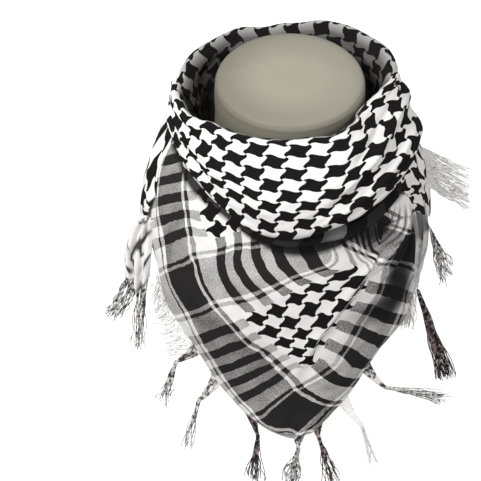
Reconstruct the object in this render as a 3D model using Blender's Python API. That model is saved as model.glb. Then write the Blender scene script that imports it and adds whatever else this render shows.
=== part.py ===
"""Square check scarf worn folded on a limbless neck form that stands on its own foot."""
import math

import bpy
import numpy as np

# driving sizes in millimetres, heights measured down from the flat top of the neck
FORM_HEIGHT = 346.0
CLOTH = 1.8
SEAM = 1.0
NECK_TILT = 0.043
STRAND = 0.9

# neck form sections: drop, half width, half depth, centre offset front to back
FORM_RINGS = [
    (0.0, 52.0, 53.5, 0.0),
    (1.2, 57.0, 58.5, 0.0),
    (4.5, 60.3, 61.8, 0.0),
    (10.0, 61.0, 62.5, 0.0),
    (40.0, 61.0, 62.5, 0.0),
    (58.0, 63.0, 64.0, 0.0),
    (74.0, 70.0, 69.0, -1.0),
    (92.0, 84.0, 77.0, -5.0),
    (110.0, 97.0, 84.0, -8.0),
    (130.0, 103.0, 89.0, -10.0),
    (155.0, 103.0, 91.0, -8.0),
    (186.0, 97.0, 87.0, -3.0),
    (220.0, 84.0, 79.0, 4.0),
    (258.0, 68.0, 68.0, 10.0),
    (296.0, 53.0, 58.0, 14.0),
    (326.0, 46.0, 52.0, 14.0),
    (342.0, 43.5, 49.5, 14.0),
    (346.0, 42.0, 48.0, 14.0),
]
# cowl stations: share of width, then angle, radius and drop of the rim,
# angle, radius and drop of the lower fold, depth of the turned in flap
COWL = [
    (0.00, -101.0, 94.4, 13.5, -95.0, 95.5, 36.6, 34.0),
    (0.10, -85.0, 93.6, 13.0, -77.0, 94.2, 43.0, 34.0),
    (0.20, -65.9, 90.8, 12.2, -62.0, 96.0, 54.0, 32.0),
    (0.30, -49.9, 82.3, 10.3, -44.9, 99.4, 58.8, 22.0),
    (0.40, -31.0, 81.0, 8.3, -28.0, 105.0, 67.5, 13.0),
    (0.50, -10.3, 81.6, 6.0, -10.1, 111.0, 77.1, 11.0),
    (0.60, 9.4, 79.5, 6.0, 7.7, 111.9, 75.8, 11.0),
    (0.70, 27.3, 82.4, 5.6, 25.6, 109.1, 70.0, 12.0),
    (0.78, 41.4, 77.3, 7.3, 41.7, 106.6, 66.5, 15.0),
    (0.86, 60.8, 69.0, 8.3, 58.0, 104.4, 63.0, 20.0),
    (0.93, 82.0, 74.4, 8.1, 74.1, 103.5, 62.0, 28.0),
    (1.00, 100.9, 90.0, 8.6, 92.9, 104.5, 72.0, 34.0),
]
# rounded lip of the second fold under the cowl: angle, radius and drop of its edge
LIP = [
    (-22.0, 105.5, 80.0),
    (-12.0, 108.0, 85.3),
    (2.0, 108.5, 89.2),
    (13.0, 108.4, 87.0),
    (24.0, 108.8, 86.0),
    (34.0, 109.7, 84.0),
    (45.0, 108.7, 78.5),
    (55.0, 107.4, 72.5),
]
# hanging cloth sections: drop, half width, front depth
DRAPE = [
    (40.0, 83.0, 84.0),
    (60.0, 97.2, 92.0),
    (80.0, 108.0, 96.5),
    (100.0, 114.4, 100.5),
    (120.0, 118.0, 104.0),
    (151.0, 118.5, 107.0),
    (188.5, 115.6, 108.0),
    (208.4, 109.8, 109.0),
    (227.4, 100.9, 110.0),
    (246.5, 90.9, 111.5),
    (264.6, 78.7, 113.0),
    (274.3, 72.6, 113.5),
    (292.7, 62.4, 114.0),
]
# free edge of the front triangle: angle, drop
BIB_EDGE = [
    (-82.0, 127.0),
    (-72.0, 143.6),
    (-65.0, 159.0),
    (-59.0, 190.2),
    (-54.0, 207.9),
    (-49.0, 228.8),
    (-43.0, 246.6),
    (-36.0, 262.3),
    (-24.0, 273.5),
    (-8.0, 281.0),
    (10.0, 285.0),
    (22.0, 281.5),
    (31.0, 269.0),
    (36.0, 258.1),
    (39.0, 246.5),
    (43.0, 234.9),
    (47.0, 222.4),
    (53.0, 212.0),
    (60.0, 206.0),
]
# top edge of the front triangle, hidden by the cowl: angle, drop
BIB_TOP = [(-82.0, 50.0), (-60.0, 63.0), (-40.0, 71.0), (0.0, 85.0), (35.0, 83.0), (60.0, 77.0)]

# folds of the front triangle: angle and drop at the upper end, at the lower end, height, half width
BIB_FOLDS = [
    (57.0, 92.0, 43.0, 128.0, 3.4, 6.5),
    (60.0, 104.0, 34.0, 172.0, -3.0, 7.0),
    (58.0, 96.0, 26.0, 205.0, 2.6, 8.0),
    (-68.0, 64.0, -58.0, 190.0, 2.2, 8.0),
    (-50.0, 84.0, -38.0, 205.0, -1.8, 9.0),
    (-24.0, 96.0, -6.0, 250.0, 1.8, 11.0),
    (44.0, 150.0, 40.0, 225.0, 2.0, 8.0),
]

# band round the sides and the nape: angle, radius and drop of its rim, flare and depth of its outer wall
BAND = [
    (-103.4, 94.0, 13.9, -3.5, 26.0),
    (-118.0, 93.0, 10.8, -2.0, 30.0),
    (-135.0, 90.8, 8.1, 3.0, 38.0),
    (-150.0, 88.0, 6.7, 6.5, 44.0),
    (-168.3, 81.4, 6.5, 9.5, 44.0),
    (-185.6, 83.1, 4.6, 9.5, 45.5),
    (-200.8, 87.5, 2.6, 7.5, 47.0),
    (-222.7, 90.6, 2.8, 4.0, 43.0),
    (-238.5, 93.0, 4.4, -1.0, 33.0),
    (-256.5, 90.4, 8.5, -3.5, 26.0),
]
# outer wraps over the shoulders: angle from the front, upper drop, lower drop, lift off the band
WRAP_LEFT = [
    (-71.0, 94.0, 117.0, 4.5),
    (-80.0, 68.0, 127.0, 4.0),
    (-92.0, 42.0, 131.0, 2.5),
    (-108.0, 30.0, 125.0, 3.5),
    (-118.0, 29.0, 120.0, 4.8),
    (-128.0, 34.0, 114.0, 6.8),
    (-138.0, 49.0, 108.0, 7.5),
    (-148.0, 61.0, 103.0, 7.0),
    (-160.0, 62.0, 98.0, 6.5),
    (-172.0, 58.0, 91.0, 6.0),
    (-182.0, 55.5, 84.0, 5.5),
    (-190.0, 53.5, 76.0, 3.5),
    (-198.0, 49.0, 68.0, 0.5),
    (-206.0, 43.0, 61.0, -0.8),
    (-216.0, 38.0, 56.0, -1.0),
]
WRAP_RIGHT = [
    (59.0, 76.0, 92.0, 3.7),
    (70.0, 73.0, 114.0, 0.0),
    (84.0, 79.0, 130.0, -3.0),
    (96.0, 78.5, 131.0, -3.0),
    (103.0, 50.0, 129.0, -1.0),
    (108.0, 31.0, 126.0, 2.0),
    (118.0, 28.0, 120.0, 4.5),
    (128.0, 34.0, 114.0, 6.5),
    (138.0, 51.0, 109.0, 4.5),
    (150.0, 63.0, 103.0, -1.5),
    (160.0, 64.0, 98.0, -4.0),
    (182.0, 58.0, 89.0, -4.5),
    (198.0, 49.0, 72.0, -4.5),
    (214.0, 38.0, 56.0, -4.0),
]
# outside of the wrapped shoulders: drop, half width, back depth
SHOULDER = [
    (10.0, 88.0, 83.0),
    (34.0, 90.5, 84.0),
    (54.0, 97.5, 87.0),
    (66.0, 101.0, 89.0),
    (80.0, 107.5, 91.5),
    (99.0, 113.0, 93.0),
    (114.0, 116.5, 93.0),
    (132.0, 118.0, 92.0),
]
# hanging ends: share of length, centre across, centre depth, drop, half width, turn about the upright
TAIL_LEFT = [
    (0.0, -118.2, -36.3, 117.7, 6.5, -38.0),
    (0.25, -124.5, -36.0, 132.2, 12.0, -34.0),
    (0.6, -128.6, -41.0, 151.8, 16.0, -28.0),
    (1.0, -130.0, -45.0, 171.0, 16.5, -24.0),
]
TAIL_RIGHT = [
    (0.0, 108.6, -37.0, 116.4, 5.5, 62.0),
    (0.25, 109.4, -36.3, 127.0, 10.0, 58.0),
    (0.6, 110.0, -35.0, 146.0, 13.0, 50.0),
    (1.0, 109.0, -36.0, 162.0, 13.0, 44.0),
]
# tassels: angle on the free edge, half width of the strip, knot, tip (across, depth, drop), strands, tip spread
TASSELS = {
    "tassel_left_upper": (-49.5, 6.0, (-93.5, -80.0, 233.3), (-103.9, -80.0, 274.5), 5, 9.0),
    "tassel_left_lower": (-42.0, 6.0, (-75.4, -92.0, 265.0), (-84.1, -90.0, 316.5), 5, 7.0),
    "tassel_tip_left": (-25.0, 6.5, (-25.8, -110.0, 288.0), (-28.8, -107.0, 337.2), 6, 13.0),
    "tassel_tip": (7.0, 5.0, (7.7, -115.0, 297.0), (1.5, -113.0, 339.5), 5, 12.0),
    "tassel_tip_right": (21.0, 5.0, (25.1, -111.0, 289.5), (37.5, -108.0, 341.0), 5, 9.0),
    "tassel_right_lower": (34.0, 5.0, (61.0, -102.0, 283.7), (71.9, -98.0, 329.5), 4, 5.0),
    "tassel_right_upper": (42.0, 5.0, (80.7, -90.0, 252.6), (128.3, -76.0, 274.1), 5, 9.0),
}

# loose fringe along the left free edge: angles of its ends, tips (across, depth, drop), strands
EDGE_FRINGE = (-63.0, -52.5, (-117.5, -60.0, 175.0), (-103.0, -77.0, 224.0), 12)

# fringes of the hanging ends: tips at both sides (across, depth, drop), strands
END_FRINGE = {
    "fringe_end_left": ((-160.0, -38.0, 240.0), (-126.0, -60.0, 244.0), 12),
    "fringe_end_right": ((92.0, -54.0, 214.0), (114.0, -42.0, 231.0), 8),
}

# fringes that leave the right shoulder: start and end of the strip, then of the tips, strands
SIDE_FRINGE = {
    "fringe_shoulder": ((111.6, 4.0, 74.0), (116.1, -3.0, 108.0), (146.4, 2.0, 91.8), (147.5, -3.0, 130.2), 12),
    "fringe_shoulder_low": ((118.0, -20.5, 134.0), (118.6, -25.2, 140.0), (136.0, -22.0, 203.0), (127.5, -26.0, 198.0), 4),
    "tassel_right_side": ((113.3, -28.2, 164.9), (117.8, -24.7, 165.4), (138.0, -36.0, 294.0), (146.0, -34.0, 291.0), 4),
}


def blend(table, x, column):
    """Smooth value of a column of a section table whose first column rises or falls."""
    rows = sorted(table)
    xs = np.array([row[0] for row in rows])
    ys = np.array([row[column] for row in rows])
    slope = np.gradient(ys, xs)
    x = np.clip(np.asarray(x, float), xs[0], xs[-1])
    i = np.clip(np.searchsorted(xs, x) - 1, 0, len(xs) - 2)
    step = xs[i + 1] - xs[i]
    t = (x - xs[i]) / step
    a = ys[i] * (1 + 2 * t) * (1 - t) ** 2 + slope[i] * step * t * (1 - t) ** 2
    b = ys[i + 1] * (3 - 2 * t) * t ** 2 - slope[i + 1] * step * t ** 2 * (1 - t)
    return a + b


def place(angle, radius, drop):
    """Point at an angle from the front, a radius and a drop below the neck top."""
    turn = np.radians(angle)
    return np.stack([radius * np.sin(turn), -radius * np.cos(turn), FORM_HEIGHT - drop + 0 * turn], -1)


def oval(angle, drop, table, wide=1, deep=2):
    """Point on an oval section whose half width and depth come from a table."""
    turn = np.radians(angle)
    x = blend(table, drop, wide) * np.sin(turn)
    y = -blend(table, drop, deep) * np.cos(turn)
    return np.stack([x, y, FORM_HEIGHT - drop], -1)


def normals(grid):
    """Unit normals of a grid of points."""
    du = np.gradient(grid, axis=0)
    dv = np.gradient(grid, axis=1)
    out = np.cross(du, dv)
    return out / np.maximum(np.linalg.norm(out, axis=-1, keepdims=True), 1e-9)


def material(name, colour, roughness):
    """Plain material for a piece."""
    made = bpy.data.materials.new(name)
    made.use_nodes = True
    shader = made.node_tree.nodes["Principled BSDF"]
    shader.inputs["Base Color"].default_value = (*colour, 1.0)
    shader.inputs["Roughness"].default_value = roughness
    return made


def enclosed(points, faces):
    """Signed volume of a closed body."""
    total = 0.0
    for face in faces:
        first = points[face[0]]
        for k in range(1, len(face) - 1):
            total += np.dot(first, np.cross(points[face[k]], points[face[k + 1]]))
    return total / 6.0


def add_object(name, points, faces, finish):
    """One closed body in metres with its faces outwards."""
    points = np.asarray(points, float)
    if enclosed(points - points.mean(axis=0), faces) < 0.0:
        faces = [tuple(reversed(face)) for face in faces]
    mesh = bpy.data.meshes.new(name)
    mesh.from_pydata((points * 0.001).tolist(), [], faces)
    mesh.materials.append(finish)
    mesh.validate()
    mesh.update()
    for polygon in mesh.polygons:
        polygon.use_smooth = True
    made = bpy.data.objects.new(name, mesh)
    bpy.context.scene.collection.objects.link(made)
    return made


def add_wall(name, grid, finish, thickness=CLOTH):
    """Cloth wall of even thickness about a grid of points."""
    rows, columns = grid.shape[:2]
    side = normals(grid) * thickness / 2
    points = np.concatenate([(grid + side).reshape(-1, 3), (grid - side).reshape(-1, 3)])
    count = rows * columns
    faces = []
    for i in range(rows - 1):
        for j in range(columns - 1):
            a = i * columns + j
            b = a + columns
            faces.append((a, b, b + 1, a + 1))
            faces.append((count + a, count + a + 1, count + b + 1, count + b))
    edge = [i * columns for i in range(rows)]
    edge += [(rows - 1) * columns + j for j in range(1, columns)]
    edge += [i * columns + columns - 1 for i in range(rows - 2, -1, -1)]
    edge += [j for j in range(columns - 2, 0, -1)]
    for k, a in enumerate(edge):
        b = edge[(k + 1) % len(edge)]
        faces.append((b, a, count + a, count + b))
    return add_object(name, points, faces, finish)


def add_form(name, finish):
    """Solid of oval rings closed by flat ends."""
    around = 40
    points = []
    for drop, wide, deep, offset in FORM_RINGS:
        for k in range(around):
            turn = 2 * math.pi * k / around
            y = deep * math.sin(turn) + offset
            tilt = NECK_TILT * y * max(0.0, 1.0 - drop / 60.0)
            points.append((wide * math.cos(turn), y, FORM_HEIGHT - drop + tilt))
    faces = [tuple(range(around))]
    for i in range(len(FORM_RINGS) - 1):
        for k in range(around):
            a = i * around + k
            b = i * around + (k + 1) % around
            faces.append((a, a + around, b + around, b))
    last = (len(FORM_RINGS) - 1) * around
    faces.append(tuple(last + k for k in range(around - 1, -1, -1)))
    return add_object(name, points, faces, finish)


def cowl_grid():
    """Turned in flap, rim, belly and lower fold of the cowl."""
    share = np.linspace(0.0, 1.0, 45)
    rows = []
    for s in share:
        rim_turn, rim, rim_drop, fold_turn, fold, fold_drop, flap = (
            float(blend(COWL, s, c)) for c in range(1, 8))
        reach = math.hypot(fold - rim, fold_drop - rim_drop)
        line = []
        inner = max(62.9, rim - 0.45 * flap - 6.0 - 6.0 * max(0.0, s - 0.8) * 5.0)
        for t in (0.0, 0.5):
            line.append((rim_turn, inner + (rim - 4.5 - inner) * t, rim_drop + flap * (1 - t) + 3.0 * t))
        line.append((rim_turn, rim - 4.0, rim_drop + 1.0))
        p0 = (rim, rim_drop)
        bulge = 0.25 - 0.19 * math.exp(-((1 - s) / 0.1) ** 2) - 0.15 * math.exp(-(s / 0.08) ** 2)
        p1 = (rim + bulge * reach, rim_drop + 0.20 * reach)
        p2 = (fold + 0.15 * reach, fold_drop - 0.33 * reach)
        for t in np.linspace(0.0, 1.0, 9):
            w = ((1 - t) ** 3, 3 * t * (1 - t) ** 2, 3 * t * t * (1 - t), t ** 3)
            radius = w[0] * p0[0] + w[1] * p1[0] + w[2] * p2[0] + w[3] * fold
            drop = w[0] * p0[1] + w[1] * p1[1] + w[2] * p2[1] + w[3] * fold_drop
            turn = rim_turn + (fold_turn - rim_turn) * t
            near = math.exp(-((min(s, 1 - s)) / 0.22) ** 2)
            radius += 2.2 * near * math.sin(2 * math.pi * (2.2 * t + 0.6 * s)) * math.sin(math.pi * t)
            radius += 1.2 * math.sin(2 * math.pi * (1.4 * t + 1.1 * s)) * math.sin(math.pi * t)
            line.append((turn, radius, drop))
        line.append((fold_turn, fold - 3.2, fold_drop + 2.4))
        line.append((fold_turn, fold - 7.0, fold_drop + 0.4))
        line.append((fold_turn, fold - 8.2, fold_drop - 5.0))
        rows.append([place(a, r, d) for a, r, d in line])
    return np.array(rows)


def lip_grid():
    """Second fold showing under the cowl."""
    rows = []
    for turn in np.linspace(-22.0, 55.0, 21):
        edge = float(blend(LIP, turn, 1))
        drop = float(blend(LIP, turn, 2))
        fade = min(1.0, (turn + 22.0) / 16.0, (55.0 - turn) / 14.0)
        line = [(edge - 5.2, drop - 5.0 - 2.0 * fade), (edge - 1.2, drop - 2.8), (edge, drop)]
        line += [(edge - 1.6, drop + 2.2), (edge - 5.0, drop + 2.2)]
        rows.append([place(turn, r, d) for r, d in line])
    return np.array(rows)


def bib_grid(turns, share, inset=0.0, extra=0.0):
    """Hanging front cloth between its hidden top and its free edge."""
    angle, part = np.meshgrid(turns, share, indexing="ij")
    top = blend(BIB_TOP, angle, 1)
    end = blend(BIB_EDGE, angle, 1) + extra
    drop = top + (end - top) * part
    grid = oval(angle, drop, DRAPE)
    lift = np.zeros_like(drop)
    for turn_a, drop_a, turn_b, drop_b, height, half in BIB_FOLDS:
        run = np.clip((drop - drop_a) / (drop_b - drop_a), 0.0, 1.0)
        middle = turn_a + (turn_b - turn_a) * run ** 0.8
        width = half * (0.75 + 0.5 * run)
        fade = np.clip((drop - drop_a + 14.0) / 24.0, 0.0, 1.0) * np.clip((drop_b + 14.0 - drop) / 28.0, 0.0, 1.0)
        lift += height * fade * np.exp(-((angle - middle) / width) ** 2)
    turn = np.radians(angle)
    out = np.stack([np.sin(turn), -np.cos(turn), 0 * turn], -1)
    return grid + out * (lift - inset)[..., None]


def band_grid():
    """Folded collar round the sides and the nape."""
    rows = []
    for turn in np.linspace(-103.4, -256.5, 45):
        rim, drop, flare, skirt = (float(blend(BAND, turn, c)) for c in range(1, 5))
        wave = 1.2 * math.sin(math.radians(turn * 5.0)) + 0.8 * math.sin(math.radians(turn * 8.0 + 40.0))
        line = [(max(63.8, rim - 21.0), drop + 34.0), (rim - 13.5 + wave, drop + 18.0)]
        line += [(rim - 7.5, drop + 5.0), (rim - 3.0, drop + 0.3), (rim + 0.6, drop + 2.4)]
        line += [(rim + 1.4 + 0.4 * flare, drop + 0.4 * skirt), (rim + flare, drop + skirt)]
        rows.append([place(turn, r, d) for r, d in line])
    return np.array(rows)


def wrap_grid(table, count):
    """Outer stretch over one shoulder with lengthwise folds."""
    turns = np.linspace(table[0][0], table[-1][0], count)
    rows = []
    for turn in turns:
        high, low, lift = (float(blend(table, turn, c)) for c in (1, 2, 3))
        line = []
        for part in np.linspace(0.0, 1.0, 11):
            drop = high + (low - high) * part
            point = oval(turn, np.array(drop), SHOULDER)
            calm = 0.4 + 0.6 * min(1.0, abs(abs(turn) - 180.0) / 45.0)
            depth = 1.7 * calm * math.sin(6 * math.pi * part + 0.5) * math.sin(math.pi * min(1.0, part * 1.2 + 0.1))
            swing = math.radians(turn)
            out = np.array([math.sin(swing), -math.cos(swing), 0.0])
            line.append(point + out * (lift + 2.0 + depth))
        rows.append(line)
    return np.array(rows)


def tail_grid(table):
    """Gathered hanging end that fans out from its pinch."""
    rows = []
    for part in np.linspace(0.0, 1.0, 10):
        x, y, drop, half, turn = (float(blend(table, part, c)) for c in range(1, 6))
        swing = math.radians(turn)
        along = np.array([math.cos(swing), math.sin(swing), 0.0])
        out = np.array([math.sin(swing), -math.cos(swing), 0.0])
        line = []
        for k, side in enumerate(np.linspace(-1.0, 1.0, 13)):
            fold = (2.0 + 1.2 * part) * math.sin(2 * math.pi * 1.5 * side + 0.8)
            sag = 2.0 * part * math.cos(math.pi * side)
            base = np.array([x, y, FORM_HEIGHT - drop - sag])
            line.append(base + along * half * side + out * fold)
        rows.append(line)
    return np.array(rows)


def spread(start, end, count):
    """Evenly spaced points from start to end."""
    share = np.linspace(0.0, 1.0, count)[:, None]
    return np.asarray(start) * (1 - share) + np.asarray(end) * share


def drop_point(spot):
    """Point given by its drop turned into a height."""
    return np.array([spot[0], spot[1], FORM_HEIGHT - spot[2]])


def edge_strip(grid, low, high, count):
    """Points just outside the last row of a grid, between two shares of its length."""
    edge = grid[:, -1]
    before = grid[:, -2]
    place_at = np.linspace(low, high, count) * (len(edge) - 1)
    index = np.arange(len(edge))
    outer = np.stack([np.interp(place_at, index, edge[:, c]) for c in range(3)], -1)
    inner = np.stack([np.interp(place_at, index, before[:, c]) for c in range(3)], -1)
    along = np.gradient(outer, axis=0)
    along /= np.linalg.norm(along, axis=1, keepdims=True)
    away = outer - inner
    away -= along * np.sum(away * along, axis=1, keepdims=True)
    away /= np.linalg.norm(away, axis=1, keepdims=True)
    return outer + away * SEAM


def add_fringe(name, base, tips, finish, knot=None, knot_step=1.5):
    """Narrow backing strip with four sided strands grown from every second cell."""
    cells = len(base) - 1
    fall = tips.mean(axis=0) - base.mean(axis=0)
    if knot is not None:
        fall = knot - base.mean(axis=0)
    fall /= np.linalg.norm(fall)
    across = base[-1] - base[0]
    out = np.cross(fall, across)
    out *= STRAND / 2 / np.linalg.norm(out)
    depth = fall * 1.2
    points = []
    for spot in base:
        points += [spot - out, spot + out, spot + out + depth, spot - out + depth]
    faces = [(0, 1, 2, 3)]
    for k in range(cells):
        a = 4 * k
        b = a + 4
        faces.append((a, b, b + 1, a + 1))
        faces.append((a + 1, b + 1, b + 2, a + 2))
        faces.append((b, a, a + 3, b + 3))
        ring = [a + 3, a + 2, b + 2, b + 3]
        if k % 2:
            faces.append(tuple(ring))
            continue
        along = base[k + 1] - base[k]
        size = np.linalg.norm(along)
        middle = (base[k] + base[k + 1]) / 2 + depth
        tip = tips[k // 2] + fall * 2.5 * math.sin(2.4 * k + 1.0)
        path = [middle + fall * 1.5]
        if knot is None:
            sway = out * 3.0 * math.sin(1.7 * k)
            path += [middle + (tip - middle) * 0.5 + sway, tip]
        else:
            side = tips[-1] - tips[0]
            side /= np.linalg.norm(side)
            at_knot = knot + side * knot_step * (k / 2 - (cells - 1) / 4)
            path += [at_knot, at_knot + (tip - at_knot) * 0.12, tip]
        for step, centre in enumerate(path):
            half = along / size * min(size, STRAND) / 2
            slim = 1.0 if step < len(path) - 1 else 0.7
            made = len(points)
            points += [centre - (half + out) * slim, centre - (half - out) * slim]
            points += [centre + (half + out) * slim, centre + (half - out) * slim]
            fresh = [made, made + 1, made + 2, made + 3]
            for m in range(4):
                n = (m + 1) % 4
                faces.append((ring[m], ring[n], fresh[n], fresh[m]))
            ring = fresh
        faces.append(tuple(ring))
    last = 4 * cells
    faces.append((last + 3, last + 2, last + 1, last))
    return add_object(name, np.array(points), faces, finish)


def build():
    for old in list(bpy.data.objects):
        bpy.data.objects.remove(old, do_unlink=True)
    form = material("form_plastic", (0.42, 0.40, 0.34), 0.55)
    cloth = material("check_cotton", (0.30, 0.29, 0.29), 0.9)
    under = material("under_cotton", (0.24, 0.23, 0.23), 0.9)
    thread = material("cotton_thread", (0.60, 0.58, 0.56), 0.9)

    # neck form and foot
    add_form("neck_form", form)

    # cloth stretches
    add_wall("front_cowl", cowl_grid(), cloth)
    add_wall("cowl_second_fold", lip_grid(), under, 1.4)
    bib_turns = np.concatenate([np.linspace(-82.0, -24.0, 15), np.linspace(-16.0, 16.0, 6), np.linspace(22.0, 60.0, 13)])
    add_wall("front_triangle", bib_grid(bib_turns, np.linspace(0.0, 1.0, 18)), cloth)
    add_wall("under_corner", bib_grid(np.linspace(-44.0, 6.0, 12), np.linspace(0.78, 1.0, 6), 2.1, 4.5), under, 1.4)
    add_wall("neck_band", band_grid(), cloth)
    add_wall("wrap_left", wrap_grid(WRAP_LEFT, 26), cloth)
    add_wall("wrap_right", wrap_grid(WRAP_RIGHT, 26), cloth)
    add_wall("end_left", tail_grid(TAIL_LEFT), cloth, 1.4)
    add_wall("end_right", tail_grid(TAIL_RIGHT), cloth, 1.4)

    # fringe and knotted tassels
    turns = np.linspace(-82.0, 60.0, 143)
    bib = bib_grid(turns, np.linspace(0.0, 1.0, 30))
    low, high, tip_a, tip_b, count = EDGE_FRINGE
    base = edge_strip(bib, (low + 82.0) / 142.0, (high + 82.0) / 142.0, 2 * count)
    add_fringe("fringe_bib_left", base, spread(drop_point(tip_a), drop_point(tip_b), count), thread)
    for name, (turn, half, knot, tip, count, fan) in TASSELS.items():
        share = (turn + 82.0) / 142.0
        reach = half / np.linalg.norm(np.gradient(bib[:, -1], axis=0)[int(round(turn + 82.0))]) / 142.0
        base = edge_strip(bib, share - reach, share + reach, 2 * count)
        side = base[-1] - base[0]
        side /= np.linalg.norm(side)
        tip = drop_point(tip)
        fall = tip - drop_point(knot)
        side -= fall * np.dot(side, fall) / np.dot(fall, fall)
        side *= fan / 2 / np.linalg.norm(side)
        add_fringe(name, base, spread(tip - side, tip + side, count), thread, drop_point(knot))
    for name, table in (("fringe_end_left", TAIL_LEFT), ("fringe_end_right", TAIL_RIGHT)):
        tip_a, tip_b, count = END_FRINGE[name]
        base = edge_strip(tail_grid(table).transpose(1, 0, 2), 0.03, 0.97, 2 * count)
        add_fringe(name, base, spread(drop_point(tip_a), drop_point(tip_b), count), thread)
    for name, (start, end, tip_a, tip_b, count) in SIDE_FRINGE.items():
        base = spread(drop_point(start), drop_point(end), 2 * count)
        add_fringe(name, base, spread(drop_point(tip_a), drop_point(tip_b), count), thread)


build()
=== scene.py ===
import math

import bmesh
import bpy
import numpy as np
from mathutils import Matrix, Vector


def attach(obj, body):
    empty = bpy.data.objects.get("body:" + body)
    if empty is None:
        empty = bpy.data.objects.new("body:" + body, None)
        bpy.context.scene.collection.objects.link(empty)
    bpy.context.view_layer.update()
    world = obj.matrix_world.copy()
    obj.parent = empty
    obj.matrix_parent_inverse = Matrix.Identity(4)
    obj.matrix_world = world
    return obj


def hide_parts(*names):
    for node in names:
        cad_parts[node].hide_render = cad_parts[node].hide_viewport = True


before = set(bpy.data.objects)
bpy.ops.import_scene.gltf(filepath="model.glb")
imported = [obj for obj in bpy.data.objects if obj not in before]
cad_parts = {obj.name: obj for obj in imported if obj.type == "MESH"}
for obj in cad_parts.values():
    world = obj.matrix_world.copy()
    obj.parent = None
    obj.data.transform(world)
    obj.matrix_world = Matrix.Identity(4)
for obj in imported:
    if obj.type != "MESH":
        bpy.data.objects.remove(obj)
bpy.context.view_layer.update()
mm = 0.001
formHeight = 346.0  # drops count down from the flat top of the neck
neckTilt = 0.043  # slope of the flat top, up towards the back
print("frame loaded")


def cubic(t, step, ends, slopes):  # smooth from one end to the other with a slope at each
    a = ends[0] * (1 + 2 * t) * (1 - t) ** 2 + slopes[0] * step * t * (1 - t) ** 2
    b = ends[1] * (3 - 2 * t) * t ** 2 - slopes[1] * step * t ** 2 * (1 - t)
    return a + b


def tableValue(table, x, column):
    rows = sorted(table)
    xs = np.array([row[0] for row in rows], float)
    ys = np.array([row[column] for row in rows], float)
    slope = np.gradient(ys, xs)
    x = np.clip(np.asarray(x, float), xs[0], xs[-1])
    i = np.clip(np.searchsorted(xs, x) - 1, 0, len(xs) - 2)
    step = xs[i + 1] - xs[i]
    return cubic((x - xs[i]) / step, step, (ys[i], ys[i + 1]), (slope[i], slope[i + 1]))


def tableRow(table, x):
    return [float(tableValue(table, x, column)) for column in range(1, len(table[0]))]


def place(angle, radius, drop):
    turn = np.radians(angle)
    return np.stack([radius * np.sin(turn), -radius * np.cos(turn), formHeight - drop + 0 * turn], -1)


def oval(angle, drop, table):
    turn = np.radians(angle)
    x = tableValue(table, drop, 1) * np.sin(turn)
    y = -tableValue(table, drop, 2) * np.cos(turn)
    return np.stack([x, y, formHeight - drop], -1)


def shares(rows, columns, low=0.0):
    return np.meshgrid(np.linspace(0, 1, rows), np.linspace(low, 1, columns), indexing="ij")


def gridNormals(grid):
    out = np.cross(np.gradient(grid, axis=0), np.gradient(grid, axis=1))
    return out / np.maximum(np.linalg.norm(out, axis=-1, keepdims=True), 1e-9)


def outwardNormals(grid):
    out = gridNormals(grid)
    centre = np.array([0.0, 0.0, grid[..., 2].mean() - 20.0])
    return -out if np.sum(out * (grid - centre)) < 0 else out


def resample(grid, at, wanted):  # smooth curve through the second axis of a grid
    at = np.asarray(at, float)
    slope = np.gradient(grid, at, axis=1)
    i = np.clip(np.searchsorted(at, wanted) - 1, 0, len(at) - 2)
    step = (at[i + 1] - at[i])[None, :, None]
    t = ((wanted - at[i])[None, :, None]) / step
    return cubic(t, step, (grid[:, i], grid[:, i + 1]), (slope[:, i], slope[:, i + 1]))


def fromLine(x, y, row):  # share run along a bowed line, distance off it, and its direction
    ax, ay, bx, by, bow = row[:5]
    length = math.hypot(bx - ax, by - ay)
    dx, dy = (bx - ax) / length, (by - ay) / length
    run = ((x - ax) * dx + (y - ay) * dy) / length
    return run, -(x - ax) * dy + (y - ay) * dx - bow * 4 * run * (1 - run), dx, dy


def creases(x, y, rows):  # start x, y, end x, y, bow, height, width before, width after
    lift = np.zeros_like(x)
    for row in rows:
        run, side = fromLine(x, y, row)[:2]
        ends = np.clip((run + 0.12) / 0.3, 0, 1) * np.clip((1.12 - run) / 0.35, 0, 1)
        ends = ends * ends * (3 - 2 * ends)
        lift += row[5] * ends * np.exp(-(side / np.where(side < 0, row[6], row[7])) ** 2)
    return lift


def tucks(x, y, rows):  # start x, y, end x, y, bow, millimetres of cloth hidden in the fold
    moved = np.zeros(np.shape(x) + (2,))
    for row in rows:
        run, side, dx, dy = fromLine(x, y, row)
        ends = np.clip((run + 0.1) / 0.3, 0, 1) * np.clip((1.1 - run) / 0.5, 0, 1)
        step = row[5] * ends / (1 + np.exp(-side / 0.7)) * np.exp(-(side / 60.0) ** 2)
        moved[..., 0] += step * (-dy - dx) / math.sqrt(2)
        moved[..., 1] += step * (dy - dx) / math.sqrt(2)
    return moved


def ripple(x, y, size, height, seed):  # small uneven waves over a sheet
    draw = np.random.default_rng(seed)
    total = np.zeros_like(x)
    for _ in range(7):
        turn = draw.uniform(0, math.pi)
        wave = size * draw.uniform(0.7, 1.6)
        total += np.sin((x * math.cos(turn) + y * math.sin(turn)) * 2 * math.pi / wave + draw.uniform(0, 6.3))
    return total * height / 3


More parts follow.
